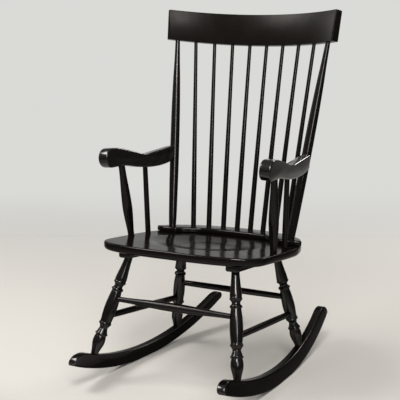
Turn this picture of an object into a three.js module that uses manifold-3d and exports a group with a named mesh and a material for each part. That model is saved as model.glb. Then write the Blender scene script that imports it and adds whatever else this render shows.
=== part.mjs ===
// A Boston rocking chair of black lacquered wood. Millimetres, +Z up, with the floor at z = 0.
// The front faces -Y, and the origin lies on the floor under the middle of the rockers.
// Pieces called left lie on the -X side, and each pair is the same shape mirrored in x.
import * as THREE from 'three';
import { mergeVertices } from 'three/addons/utils/BufferGeometryUtils.js';
import Module from 'manifold-3d';

const wasm = await Module();
wasm.setup();

// Clearance round every tenon, screw and plug, and between pieces that rest on each other.
const jointGap = 0.3;

// Seat plank: it tips back, and its deck passes through deckHeight above the origin.
const deckHeight = 406.5;
const seatPitchDegrees = 4.6;
const seatHalfWidth = 272;
const seatFront = 291;
const seatBack = 234;
const seatThickness = 26;
const seatTopRound = 5;
const seatUnderRound = 13;
// Half of the outline from the middle of the front to the side, as shares of half width and front reach.
const seatFrontShares = [
  [0, 1], [0.24, 1], [0.47, 0.985], [0.69, 0.945], [0.835, 0.89],
  [0.92, 0.825], [0.975, 0.74], [0.995, 0.65], [1, 0.4], [1, 0.1],
];
// The rest of the half outline to the middle of the back, as shares of half width and back reach.
const seatBackShares = [
  [0.99, 0.14], [0.97, 0.27], [0.925, 0.45], [0.87, 0.57],
  [0.78, 0.68], [0.61, 0.83], [0.4, 0.935], [0.19, 0.985], [0, 1],
];

// Dish hollowed in the deck, an oval that fades out at its rim.
const dishHalfWidth = 196;
const dishHalfDepth = 178;
const dishForward = 45;
const dishDepth = 9;
const dishRimRise = 0.4;
const dishProfileShares = [[0, 1], [0.35, 0.97], [0.6, 0.82], [0.8, 0.45], [0.93, 0.12], [1, 0]];

// Riser: the raised moulding along the back of the deck that carries the posts and spindles.
const riserThickness = 17;
const riserRound = 5;
const riserInset = 1;
// Front edge of half of the riser: the shallow bay from its middle to the corner of the end lobe.
const riserBayShares = [
  [0, 0.597], [0.21, 0.59], [0.39, 0.555], [0.46, 0.525], [0.54, 0.465], [0.62, 0.405], [0.686, 0.335],
];
// The lobe from that corner round to the seat's side.
const riserLobeShares = [
  [0.686, 0.335], [0.75, 0.318], [0.85, 0.315], [0.915, 0.335], [0.955, 0.375], [0.925, 0.45],
];
// The rear edge follows the seat from this point of seatBackShares on.
const riserRearStart = 2;

// Crest rail: a bent board, concave to the sitter, that leans back with the posts. It is wider at its
// top than at its foot, and deepest in its middle.
const crestHalfWidth = 300.5;
const crestFlare = 6;
const crestHeight = 98.5;
const crestSag = 2.5;
const crestThickness = 22;
const crestRadius = 600;
const crestLeanDegrees = 12.5;
const crestEase = 1.5;
const crestFootHeight = 1005.5;
const crestFootSetback = 306;

// Turned posts and spindles of the back.
const postFootX = 214;
const postFootY = 108;
const postHeadX = 270;
const postRadius = 15;
const postProfileShares = [
  [0, 0.78], [0.06, 0.87], [0.2, 0.95], [0.4, 1], [0.63, 0.94],
  [0.71, 0.87], [0.8, 0.77], [0.89, 0.62], [1, 0.5],
];
const postFootDepth = 38;
const postHeadDepth = 22;
const spindleRadius = 8.6;
const spindleProfileShares = [[0, 1], [0.25, 0.94], [0.55, 0.82], [1, 0.66]];
const spindleFootDepth = 14;
const spindleHeadDepth = 20;
const spindlesPerSide = 4;
const spindleFootSpacing = 48.5;
const spindleHeadSpacing = 61;
const spindleFootArcRadius = 400;
const spindleFootArcBack = 209;

// Arms: sawn boards with a rolled front end, that toe in towards the posts.
const armWidth = 35;
const armRearWidth = 27;
const armLength = 367;
const armBase = 620;
const armRise = 82;
const armNoseRadius = 30;
const armNoseBase = 22;
const armEase = 5;
const armMiddleX = 251.6;
const armToeShare = 0.082;
const armTiltDegrees = 4;
const armTopShares = [
  [0.92, 0.675], [0.84, 0.645], [0.71, 0.6], [0.6, 0.565],
  [0.5, 0.61], [0.4, 0.73], [0.24, 0.915], [0.15, 0.985],
];
const armUndersideShares = [
  [0.17, 0.27], [0.276, 0.245], [0.4, 0.14], [0.49, 0.075],
  [0.6, 0.02], [0.72, 0], [0.82, 0.02], [0.91, 0.075],
];
const armRearTopShare = 0.69;
const armRearUndersideShare = 0.165;
const armHollowDepth = 4;
const armTenonRadius = 6;
const armTenonLength = 14;

// Turned supports between the deck and each arm, the front one fuller than the rear one.
const armPostRadius = 15.5;
const armPostFootX = 248;
const armPostFootY = -91;
const armPostHeadX = 261;
const armPostHeadY = -119;
const armPostProfileShares = [
  [0, 0.66], [0.08, 0.67], [0.17, 0.77], [0.26, 0.88], [0.35, 0.96], [0.44, 1],
  [0.58, 0.95], [0.72, 0.85], [0.86, 0.73], [1, 0.66],
];
const armSpindleRadius = 8.7;
const armSpindleFootX = 242;
const armSpindleFootY = 0;
const armSpindleHeadX = 249;
const armSpindleHeadY = -3;
const armSpindleProfileShares = [[0, 1], [0.5, 0.97], [1, 0.9]];
const armSupportFootDepth = 18;
const armSupportHeadDepth = 16;

// Battens under the seat, into which the legs are socketed.
const cleatWidth = 42;
const cleatThickness = 21;
const cleatRound = 6;
const cleatFront = -228;
const cleatRear = 124;
const cleatScrewInset = 62;
const screwHeadRadius = 4.5;
const screwHeadDepth = 3;
const screwShankRadius = 2.2;
const screwLength = 34;

// Legs: all four have the same turning, run from the cleat down to the rocker.
const legRadius = 19.6;
const legTenonRadius = 7.5;
const legTenonLength = 24;
const legHeadDepth = 32;
const legFootSpare = 14;
const frontLegTopY = -207;
const frontLegFootY = -312;
const rearLegTopY = 99;
const rearLegFootY = 153;
// Shares of the visible length from the top, and of the leg's largest radius.
const legTaperShares = [
  [0, 0.6], [0.12, 0.73], [0.236, 0.92], [0.249, 0.89], [0.26, 0.96], [0.276, 0.82], [0.296, 0.64],
];
const legUpperRingShares = [[0.313, 0.69], [0.323, 0.87], [0.333, 0.96], [0.343, 0.87], [0.354, 0.79]];
const legBarrelShares = [[0.431, 0.93], [0.54, 1], [0.633, 0.91], [0.665, 0.87]];
const legLowerRingShares = [[0.686, 1], [0.7, 0.87], [0.716, 0.7], [0.74, 0.64], [0.768, 0.79]];
const legBeadShares = [[0.785, 0.91], [0.793, 1], [0.803, 0.88]];
const legBulbShares = [[0.822, 0.88], [0.85, 0.95], [0.88, 0.95], [0.91, 0.87], [0.95, 0.7], [1, 0.54]];

// Stretchers meet the legs at these shares of the leg's length from the top.
const frontStretcherShare = 0.43;
const sideStretcherFrontShare = 0.61;
const sideStretcherRearShare = 0.63;
const rearStretcherShare = 0.443;
const frontStretcherRadius = 13.5;
const frontStretcherProfileShares = [
  [0, 0.56], [0.15, 0.64], [0.3, 0.84], [0.5, 1], [0.7, 0.84], [0.85, 0.64], [1, 0.56],
];
const plainStretcherRadius = 10.2;
const plainStretcherProfileShares = [[0, 0.82], [0.12, 0.94], [0.5, 1], [0.88, 0.94], [1, 0.82]];
const stretcherShort = 6;

// Button plugs on the outer sides of the legs, over the joints of the front and rear stretchers.
const buttonRadius = 4.5;
const buttonDepth = 7;
const buttonRise = 2;
const buttonProfileShares = [[0, 1], [0.78, 1], [0.92, 0.8], [1, 0.4]];

// Each side's legs and rocker lie in one plane, splayed outwards at the floor and toed in at the rear.
const sidePlaneX = 246;
const sideToeShare = 0.05;
const sideSplayShare = 0.197;

// Rockers: curved runners with a round nose at each end and a short flat where they meet the floor.
const rockerRadius = 1012;
const rockerCentreForward = 17;
const rockerFront = 409;
const rockerRear = 443;
const rockerFlatHalf = 53;
const rockerDepth = 45;
const rockerWidth = 25.5;
const rockerEase = 4.5;
const rockerNoseLength = 58;
const rockerToeLength = 9;
const rockerTipShare = 0.26;

// Plugs over the riser's screws.
const plugRadius = 4.5;
const plugDepth = 8;
const plugMiddleY = 214;
const plugSideX = 189;
const plugSideY = 152;

// How finely round shapes are divided.
const outlinePoints = 52;
const turnedSides = 12;
const slimSides = 8;
const dishSides = 22;
const easeSteps = 2;
const crestSteps = 10;
const armSteps = 10;
const armNoseSteps = 7;
const rockerSteps = 5;
const rockerNoseSteps = 4;
const rockerToeSteps = 1;
const baySteps = 8;
const lobeSteps = 7;
const riserRearSteps = 10;

const lacquer = new THREE.MeshStandardMaterial({ color: '#12100f', roughness: 0.2, metalness: 0 });
const satinLacquer = new THREE.MeshStandardMaterial({ color: '#1d1917', roughness: 0.38, metalness: 0 });
const steel = new THREE.MeshStandardMaterial({ color: '#8b8c8e', roughness: 0.35, metalness: 1 });

const xAxis = new THREE.Vector3(1, 0, 0);
const yAxis = new THREE.Vector3(0, 1, 0);
const zAxis = new THREE.Vector3(0, 0, 1);

const chair = new THREE.Group();
const radians = THREE.MathUtils.degToRad;

// The seat's own frame, with the deck in its xy plane.
const seatMatrix = new THREE.Matrix4()
  .makeTranslation(0, 0, deckHeight)
  .multiply(new THREE.Matrix4().makeRotationX(-radians(seatPitchDegrees)));

function seatPoint(x, y, height) {
  return new THREE.Vector3(x, y, height).applyMatrix4(seatMatrix);
}

// A point over plan position x, y, at a height above the deck that is measured square to it.
function overDeck(x, y, height) {
  const pitch = radians(seatPitchDegrees);
  const z = deckHeight - y * Math.tan(pitch) + height / Math.cos(pitch);
  return new THREE.Vector3(x, y, z);
}

function solidOf(geometry, matrix) {
  const bare = geometry.clone();
  bare.deleteAttribute('normal');
  bare.deleteAttribute('uv');
  const merged = mergeVertices(bare);
  merged.applyMatrix4(matrix);
  return new wasm.Manifold(new wasm.Mesh({
    numProp: 3,
    vertProperties: new Float32Array(merged.attributes.position.array),
    triVerts: new Uint32Array(merged.index.array),
  }));
}

// Adds one named piece, stored in its own frame and placed by that frame's matrix.
function addPiece(name, solid, matrix, material) {
  const mesh = solid.getMesh();
  const geometry = new THREE.BufferGeometry();
  geometry.setAttribute('position', new THREE.BufferAttribute(new Float32Array(mesh.vertProperties), 3));
  geometry.setIndex(new THREE.BufferAttribute(new Uint32Array(mesh.triVerts), 1));
  geometry.applyMatrix4(matrix.clone().invert());
  geometry.computeVertexNormals();
  const piece = new THREE.Mesh(geometry, material);
  piece.name = name;
  piece.applyMatrix4(matrix);
  chair.add(piece);
}

// A closed outline, smooth through the points of its right half and their mirror images.
function mirroredOutline(halfPoints) {
  const otherHalf = halfPoints.slice(1, -1).reverse().map(([x, y]) => [-x, y]);
  const loop = [...halfPoints, ...otherHalf].map(([x, y]) => new THREE.Vector3(x, y, 0));
  const curve = new THREE.CatmullRomCurve3(loop, true, 'centripetal');
  const points = curve.getSpacedPoints(outlinePoints).slice(0, -1);
  return points.map((point) => new THREE.Vector2(point.x, point.y));
}

// A board of this outline from z = 0 up to its thickness, with rounded edges that can be grown outwards.
function board(shape, thickness, round, grow = 0) {
  const geometry = new THREE.ExtrudeGeometry(shape, {
    depth: thickness - round - round,
    bevelThickness: round,
    bevelSize: round,
    bevelOffset: grow - round,
    bevelSegments: easeSteps,
    steps: 1,
  });
  return geometry.translate(0, 0, round);
}

// A turned member runs between two points, and carries on past each into a socket.
function turnedMember(profileShares, radius, from, to, footDepth, headDepth, facets) {
  const length = from.distanceTo(to);
  const axis = to.clone().sub(from).normalize();
  const start = from.clone().addScaledVector(axis, -footDepth);
  const footRadius = profileShares[0][1] * radius;
  const headRadius = profileShares[profileShares.length - 1][1] * radius;
  const profile = [
    [0, footRadius],
    ...profileShares.map(([along, out]) => [footDepth + along * length, out * radius]),
    [footDepth + length + headDepth, headRadius],
  ];
  const turn = new THREE.Quaternion().setFromUnitVectors(yAxis, axis);
  const matrix = new THREE.Matrix4().makeRotationFromQuaternion(turn).setPosition(start);
  return { profile, matrix, facets, from, to };
}

// The member's solid, or with a gap the hole that takes it.
function turnedSolid(member, gap) {
  const { profile, matrix, facets } = member;
  const points = profile.map(([along, out]) => new THREE.Vector2(out + gap, along));
  points[0].y -= gap;
  points[points.length - 1].y += gap;
  const foot = new THREE.Vector2(0, points[0].y);
  const head = new THREE.Vector2(0, points[points.length - 1].y);
  return solidOf(new THREE.LatheGeometry([foot, ...points, head], facets), matrix);
}

function cutSockets(solid, members) {
  return members.reduce((rest, member) => rest.subtract(turnedSolid(member, jointGap)), solid);
}

function pointAlong(member, share) {
  return member.from.clone().lerp(member.to, share);
}

// Sides: -1 is left and 1 is right.
const sides = [[-1, 'left'], [1, 'right']];

// The crest's own frame has its origin at the foot of the board's middle, and z up along the board.
const crestMatrix = new THREE.Matrix4()
  .makeTranslation(0, crestFootSetback, crestFootHeight)
  .multiply(new THREE.Matrix4().makeRotationX(-radians(crestLeanDegrees)));

const crestHalfAngle = Math.asin(crestHalfWidth / crestRadius);

// The crest is deepest below its middle: this is how far its lower edge hangs down at an angle of the bend.
function crestHang(angle) {
  return crestSag * (1 - (angle / crestHalfAngle) ** 2);
}

// The point of the crest's lower edge, half way through the board, at this distance from the middle.
function crestFoot(x) {
  const angle = Math.asin(x / crestRadius);
  const forward = crestRadius - crestRadius * Math.cos(angle);
  return new THREE.Vector3(x, -forward, -crestHang(angle)).applyMatrix4(crestMatrix);
}

// Widens a bent board towards its top edge, and lets its lower edge hang down.
function shapeCrest(geometry) {
  const { position } = geometry.attributes;
  for (let i = 0; i < position.count; i += 1) {
    const point = new THREE.Vector3().fromBufferAttribute(position, i);
    const fromAxis = point.y + crestRadius;
    const angle = Math.atan2(point.x, fromAxis);
    const rise = point.z / crestHeight;
    const reach = Math.hypot(point.x, fromAxis);
    const flared = angle + angle * rise * crestFlare / crestHalfWidth;
    const hang = crestHang(angle) * (1 - rise);
    position.setXYZ(i, reach * Math.sin(flared), reach * Math.cos(flared) - crestRadius, point.z - hang);
  }
  return geometry;
}

function crestBlank() {
  const halfThickness = crestThickness / 2;
  const from = Math.PI / 2 - crestHalfAngle;
  const to = Math.PI / 2 + crestHalfAngle;
  const shape = new THREE.Shape();
  shape.absarc(0, -crestRadius, crestRadius + halfThickness, from, to, false);
  shape.absarc(0, -crestRadius, crestRadius - halfThickness, to, from, true);
  const geometry = new THREE.ExtrudeGeometry(shape, {
    depth: crestHeight - crestEase - crestEase,
    bevelThickness: crestEase,
    bevelSize: crestEase,
    bevelOffset: -crestEase,
    bevelSegments: 1,
    curveSegments: crestSteps,
    steps: 1,
  });
  return solidOf(shapeCrest(geometry.translate(0, 0, crestEase)), crestMatrix);
}

// The back's turned members, which stand on the riser and end in the crest.
function backPost(side) {
  const foot = overDeck(side * postFootX, postFootY, riserThickness);
  const head = crestFoot(side * postHeadX);
  return turnedMember(postProfileShares, postRadius, foot, head, postFootDepth, postHeadDepth, turnedSides);
}

function backSpindle(place) {
  const footX = place * spindleFootSpacing;
  const footY = spindleFootArcBack - spindleFootArcRadius + Math.sqrt(spindleFootArcRadius ** 2 - footX ** 2);
  const foot = overDeck(footX, footY, riserThickness);
  const head = crestFoot(place * spindleHeadSpacing);
  return turnedMember(
    spindleProfileShares, spindleRadius, foot, head, spindleFootDepth, spindleHeadDepth, slimSides,
  );
}

const posts = sides.map(([side]) => backPost(side));
const spindlePlaces = Array.from({ length: spindlesPerSide * 2 }, (unused, i) => i - spindlesPerSide + 1 / 2);
const spindles = spindlePlaces.map(backSpindle);

// The arm's frame has x along the arm towards the post, y up and z across it, with the nose at x = 0.
// Each arm tilts outwards a little, square to the supports under it.
function armMatrix(side) {
  const along = new THREE.Vector3(-side * armToeShare, 1, 0).normalize();
  const across = new THREE.Vector3().crossVectors(along, zAxis);
  const post = pointAtHeight(posts[side < 0 ? 0 : 1], armBase + armRise * armRearTopShare);
  const rear = post.y - postRadius + armHollowDepth;
  const rearX = side * (armMiddleX - armToeShare * rear);
  const origin = new THREE.Vector3(rearX, rear, armBase).addScaledVector(along, -armLength);
  const level = new THREE.Matrix4().makeBasis(along, zAxis, across).setPosition(origin);
  return level.multiply(new THREE.Matrix4().makeRotationX(side * radians(armTiltDegrees)));
}

function pointAtHeight(member, height) {
  return pointAlong(member, (height - member.from.z) / (member.to.z - member.from.z));
}

// The arm's side view: the sloping top, the round nose and the underside.
function armOutline() {
  const scaled = ([along, up]) => new THREE.Vector2(along * armLength, up * armRise);
  const noseMiddle = armNoseBase + armNoseRadius;
  const nosePoint = (turn) => new THREE.Vector2(
    armNoseRadius - armNoseRadius * Math.sin(turn), noseMiddle + armNoseRadius * Math.cos(turn),
  );
  const rearTop = scaled([1, armRearTopShare]);
  const rearLow = scaled([1, armRearUndersideShare]);
  const top = new THREE.SplineCurve([rearTop, ...armTopShares.map(scaled), nosePoint(0)]);
  const under = new THREE.SplineCurve([nosePoint(Math.PI), ...armUndersideShares.map(scaled), rearLow]);
  const nose = [];
  for (let i = 1; i < armNoseSteps; i += 1) {
    nose.push(nosePoint(Math.PI * i / armNoseSteps));
  }
  return new THREE.Shape([...top.getPoints(armSteps), ...nose, ...under.getPoints(armSteps)]);
}

// The board narrows from the nose to the post.
function armBlank(side) {
  const geometry = board(armOutline(), armWidth, armEase).translate(0, 0, -armWidth / 2);
  const narrowing = 1 - armRearWidth / armWidth;
  const { position } = geometry.attributes;
  for (let i = 0; i < position.count; i += 1) {
    position.setZ(i, position.getZ(i) * (1 - narrowing * position.getX(i) / armLength));
  }
  return solidOf(geometry, armMatrix(side));
}

// The round tenon at the arm's rear end, which enters the post.
function armTenon(side) {
  const matrix = armMatrix(side);
  const height = (armRearTopShare + armRearUndersideShare) * armRise / 2;
  const from = new THREE.Vector3(armLength - armTenonLength, height, 0).applyMatrix4(matrix);
  const to = new THREE.Vector3(armLength, height, 0).applyMatrix4(matrix);
  const profile = [[0, 1], [1, 1]];
  return turnedMember(profile, armTenonRadius, from, to, 0, armTenonLength, slimSides);
}

function armPost(side) {
  const foot = overDeck(side * armPostFootX, armPostFootY, 0);
  const head = new THREE.Vector3(side * armPostHeadX, armPostHeadY, armBase + armNoseBase / 2);
  return turnedMember(
    armPostProfileShares, armPostRadius, foot, head, armSupportFootDepth, armSupportHeadDepth, turnedSides,
  );
}

function armSpindle(side) {
  const foot = overDeck(side * armSpindleFootX, armSpindleFootY, 0);
  const head = new THREE.Vector3(side * armSpindleHeadX, armSpindleHeadY, armBase);
  return turnedMember(
    armSpindleProfileShares, armSpindleRadius, foot, head,
    armSupportFootDepth, armSupportHeadDepth, slimSides,
  );
}

// The side plane's x at this y and height.
function sidePlane(side, y, z) {
  return side * (sidePlaneX - sideToeShare * y - sideSplayShare * z);
}

// The rocker's frame has x along the runner towards the rear, y up and z across it.
function rockerMatrix(side) {
  const along = new THREE.Vector3(-side * sideToeShare, 1, 0).normalize();
  const across = new THREE.Vector3().crossVectors(along, zAxis);
  const origin = new THREE.Vector3(sidePlane(side, 0, 0), 0, 0);
  return new THREE.Matrix4().makeBasis(along, zAxis, across).setPosition(origin);
}

// The runner's outline: the tread with its flat, a nose at each end and the inner arc above.
// Each nose is two quarter ellipses, a short one up from the tread and a long one back to the inner arc.
function rockerOutline(grow) {
  const centreHeight = Math.sqrt(rockerRadius ** 2 - rockerFlatHalf ** 2);
  const tread = rockerRadius + grow;
  const depth = rockerDepth + grow + grow;
  const polar = (angle, radius) => new THREE.Vector2(
    radius * Math.sin(angle) - rockerCentreForward, centreHeight - radius * Math.cos(angle),
  );
  const arc = (from, to, radius, steps) => Array.from(
    { length: steps + 1 }, (unused, i) => polar(from + (to - from) * i / steps, radius),
  );
  const noseAngle = rockerNoseLength / rockerRadius;
  const toeAngle = rockerToeLength / rockerRadius;
  const tipHeight = depth * rockerTipShare;
  const quarter = (steps, place) => Array.from(
    { length: steps }, (unused, i) => place(Math.PI / 2 * (i + 1) / (steps + 1)),
  );
  const nose = (tip, inwards) => [
    ...quarter(rockerToeSteps, (turn) => polar(
      tip + inwards * toeAngle * (1 - Math.sin(turn)), tread - tipHeight * (1 - Math.cos(turn)),
    )),
    polar(tip, tread - tipHeight),
    ...quarter(rockerNoseSteps, (turn) => polar(
      tip + inwards * noseAngle * (1 - Math.cos(turn)),
      tread - tipHeight - (depth - tipHeight) * Math.sin(turn),
    )),
  ];
  const front = -Math.asin(rockerFront / rockerRadius);
  const rear = Math.asin(rockerRear / rockerRadius);
  const flat = Math.asin(rockerFlatHalf / rockerRadius);
  return new THREE.Shape([
    ...arc(front + toeAngle, -flat, tread, rockerSteps),
    ...arc(flat, rear - toeAngle, tread, rockerSteps),
    ...nose(rear, -1),
    ...arc(rear - noseAngle, front + noseAngle, tread - depth, rockerSteps * 2),
    ...nose(front, 1).reverse(),
  ]);
}

// The runner leans with the side plane, but its tread stays level across its width.
function rockerBlank(side, grow) {
  const width = rockerWidth + grow + grow;
  const lean = new THREE.Matrix4().makeShear(0, 0, 0, -side * sideSplayShare, 0, 0);
  const geometry = board(rockerOutline(grow), width, rockerEase).translate(0, 0, -width / 2);
  return solidOf(geometry, rockerMatrix(side).multiply(lean));
}

// The point of the side plane on the rocker's inner arc over this y.
function rockerTop(side, y) {
  const inner = rockerRadius - rockerDepth;
  const centreHeight = Math.sqrt(rockerRadius ** 2 - rockerFlatHalf ** 2);
  const z = centreHeight - Math.sqrt(inner ** 2 - (y + rockerCentreForward) ** 2);
  return new THREE.Vector3(sidePlane(side, y, z), y, z);
}

const legShares = [
  ...legTaperShares, ...legUpperRingShares, ...legBarrelShares,
  ...legLowerRingShares, ...legBeadShares, ...legBulbShares,
];

function leg(side, topY, footY) {
  const { z } = overDeck(0, topY, -seatThickness - cleatThickness);
  const top = new THREE.Vector3(sidePlane(side, topY, z), topY, z);
  const foot = rockerTop(side, footY);
  return turnedMember(legShares, legRadius, top, foot, legHeadDepth, legFootSpare, turnedSides);
}

// The tenon under a leg's foot, which enters the rocker.
function legTenon(member) {
  const axis = member.to.clone().sub(member.from).normalize();
  const start = member.to.clone().addScaledVector(axis, -legFootSpare);
  const tip = member.to.clone().addScaledVector(axis, legTenonLength);
  return turnedMember([[0, 1], [1, 1]], legTenonRadius, start, tip, 0, 0, slimSides);
}

const frontLegs = sides.map(([side]) => leg(side, frontLegTopY, frontLegFootY));
const rearLegs = sides.map(([side]) => leg(side, rearLegTopY, rearLegFootY));

// A stretcher between two legs' axes, stopping short inside each leg.
function stretcher(profileShares, radius, from, to) {
  const inset = stretcherShort / from.distanceTo(to);
  const start = from.clone().lerp(to, inset);
  const end = to.clone().lerp(from, inset);
  return turnedMember(profileShares, radius, start, end, 0, 0, slimSides);
}

const frontStretcher = stretcher(
  frontStretcherProfileShares, frontStretcherRadius,
  pointAlong(frontLegs[0], frontStretcherShare), pointAlong(frontLegs[1], frontStretcherShare),
);
const rearStretcher = stretcher(
  plainStretcherProfileShares, plainStretcherRadius,
  pointAlong(rearLegs[0], rearStretcherShare), pointAlong(rearLegs[1], rearStretcherShare),
);
const sideStretchers = sides.map((unused, i) => stretcher(
  plainStretcherProfileShares, plainStretcherRadius,
  pointAlong(frontLegs[i], sideStretcherFrontShare), pointAlong(rearLegs[i], sideStretcherRearShare),
));

// The radius of a turned profile at this share of its length.
function radiusAlong(profileShares, radius, share) {
  const next = profileShares.findIndex(([along]) => along > share);
  const [from, fromOut] = profileShares[next - 1];
  const [to, toOut] = profileShares[next];
  return radius * THREE.MathUtils.mapLinear(share, from, to, fromOut, toOut);
}

function legButton(member, share, side) {
  const axisPoint = pointAlong(member, share);
  const surface = radiusAlong(legShares, legRadius, share);
  const outwards = new THREE.Vector3(side, 0, 0);
  const from = axisPoint.clone().addScaledVector(outwards, surface - buttonDepth);
  const to = axisPoint.clone().addScaledVector(outwards, surface + buttonRise);
  return turnedMember(buttonProfileShares, buttonRadius, from, to, 0, 0, slimSides);
}

const legButtons = sides.map(([side], i) => [
  legButton(frontLegs[i], frontStretcherShare, side),
  legButton(rearLegs[i], rearStretcherShare, side),
]);

const armPosts = sides.map(([side]) => armPost(side));
const armSpindles = sides.map(([side]) => armSpindle(side));
const armTenons = sides.map(([side]) => armTenon(side));

// The cleat's frame lies in the seat's, with z along the cleat and y up.
function cleatMatrix(side) {
  const toSeat = seatMatrix.clone().invert();
  const front = pointOnSide(side, frontLegs).applyMatrix4(toSeat);
  const rear = pointOnSide(side, rearLegs).applyMatrix4(toSeat);
  const along = rear.clone().sub(front).setZ(0).normalize();
  const start = front.clone().addScaledVector(along, cleatFront - front.y);
  const across = new THREE.Vector3().crossVectors(zAxis, along);
  const local = new THREE.Matrix4().makeBasis(across, zAxis, along);
  local.setPosition(start.x, start.y, -seatThickness - cleatThickness - jointGap);
  return seatMatrix.clone().multiply(local);
}

function pointOnSide(side, legs) {
  return legs[side < 0 ? 0 : 1].from.clone();
}

function cleatBlank(side) {
  const half = cleatWidth / 2;
  const shape = new THREE.Shape();
  shape.moveTo(half, cleatThickness);
  shape.lineTo(-half, cleatThickness);
  shape.absarc(cleatRound - half, cleatRound, cleatRound, Math.PI, Math.PI * 3 / 2, false);
  shape.absarc(half - cleatRound, cleatRound, cleatRound, -Math.PI / 2, 0, false);
  const geometry = new THREE.ExtrudeGeometry(shape, {
    depth: cleatRear - cleatFront, bevelEnabled: false, curveSegments: easeSteps * 2, steps: 1,
  });
  return solidOf(geometry, cleatMatrix(side));
}

// Countersunk wood screws that hold the cleat to the seat, driven up from below.
function cleatScrew(side, distance) {
  const base = new THREE.Vector3(0, 0, distance).applyMatrix4(cleatMatrix(side));
  const tip = new THREE.Vector3(0, screwLength, distance).applyMatrix4(cleatMatrix(side));
  const headShare = screwHeadDepth / screwLength;
  const shankShare = screwShankRadius / screwHeadRadius;
  const profile = [[0, 1], [headShare, shankShare], [1, shankShare]];
  return turnedMember(profile, screwHeadRadius, base, tip, 0, 0, slimSides);
}

const cleatLength = cleatRear - cleatFront;
const screws = sides.map(([side]) => [
  cleatScrew(side, cleatScrewInset), cleatScrew(side, cleatLength - cleatScrewInset),
]);

// Round plugs, flush with the top of the riser.
function riserPlug(x, y) {
  const top = seatPoint(x, y, riserThickness);
  const bottom = seatPoint(x, y, riserThickness - plugDepth);
  return turnedMember([[0, 1], [1, 1]], plugRadius, bottom, top, 0, 0, slimSides);
}

const plugs = [
  ['left', riserPlug(-plugSideX, plugSideY)],
  ['middle', riserPlug(0, plugMiddleY)],
  ['right', riserPlug(plugSideX, plugSideY)],
];

function seatOutline() {
  const front = seatFrontShares.map(([x, y]) => [x * seatHalfWidth, -y * seatFront]);
  const back = seatBackShares.map(([x, y]) => [x * seatHalfWidth, y * seatBack]);
  return new THREE.Shape(mirroredOutline([...front, ...back]));
}

function dishCutter() {
  const points = dishProfileShares.map(([out, down]) => new THREE.Vector2(out, -down));
  const rimRise = dishRimRise / dishDepth;
  const rim = new THREE.Vector2(1 + rimRise, rimRise);
  const above = new THREE.Vector2(0, rimRise);
  const geometry = new THREE.LatheGeometry([...points, rim, above], dishSides);
  geometry.scale(dishHalfWidth, dishDepth, dishHalfDepth);
  geometry.rotateX(Math.PI / 2);
  return solidOf(geometry, seatMatrix.clone().multiply(
    new THREE.Matrix4().makeTranslation(0, -dishForward, 0),
  ));
}

function seatSolid() {
  const shape = seatOutline();
  const lowered = seatMatrix.clone().multiply(new THREE.Matrix4().makeTranslation(0, 0, -seatThickness));
  const easedAbove = solidOf(board(shape, seatThickness, seatTopRound), lowered);
  const easedBelow = solidOf(board(shape, seatThickness + seatUnderRound, seatUnderRound, jointGap), lowered);
  const blank = easedAbove.intersect(easedBelow).subtract(dishCutter());
  const sunk = [...posts, ...armPosts, ...armSpindles, ...frontLegs, ...rearLegs, ...screws.flat()];
  return cutSockets(blank, sunk);
}

function riserSolid() {
  const halfWidth = seatHalfWidth - riserInset;
  const back = seatBack - riserInset;
  const stretch = (shares, steps) => new THREE.SplineCurve(
    shares.map(([x, y]) => new THREE.Vector2(x * halfWidth, y * back)),
  ).getPoints(steps);
  const half = [
    ...stretch(riserBayShares, baySteps),
    ...stretch(riserLobeShares, lobeSteps).slice(1),
    ...stretch(seatBackShares.slice(riserRearStart), riserRearSteps).slice(1),
  ];
  const otherHalf = half.slice(1, -1).reverse().map(({ x, y }) => new THREE.Vector2(-x, y));
  const shape = new THREE.Shape([...half, ...otherHalf]);
  const lifted = seatMatrix.clone().multiply(new THREE.Matrix4().makeTranslation(0, 0, jointGap));
  const blank = solidOf(board(shape, riserThickness - jointGap, riserRound), lifted);
  return cutSockets(blank, [...posts, ...spindles, ...plugs.map(([, plug]) => plug)]);
}

function addTurned(name, member, solid) {
  addPiece(name, solid, member.matrix, lacquer);
}

addPiece('seat', seatSolid(), seatMatrix, lacquer);
addPiece('back_riser', riserSolid(), seatMatrix, lacquer);
addPiece('crest_rail', cutSockets(crestBlank(), [...posts, ...spindles]), crestMatrix, satinLacquer);

spindles.forEach((member, i) => {
  addTurned(`back_spindle_${i + 1}`, member, turnedSolid(member, 0));
});
plugs.forEach(([place, member]) => {
  addTurned(`riser_plug_${place}`, member, turnedSolid(member, 0));
});
addTurned('stretcher_front', frontStretcher, turnedSolid(frontStretcher, 0));
addTurned('stretcher_rear', rearStretcher, turnedSolid(rearStretcher, 0));

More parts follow.
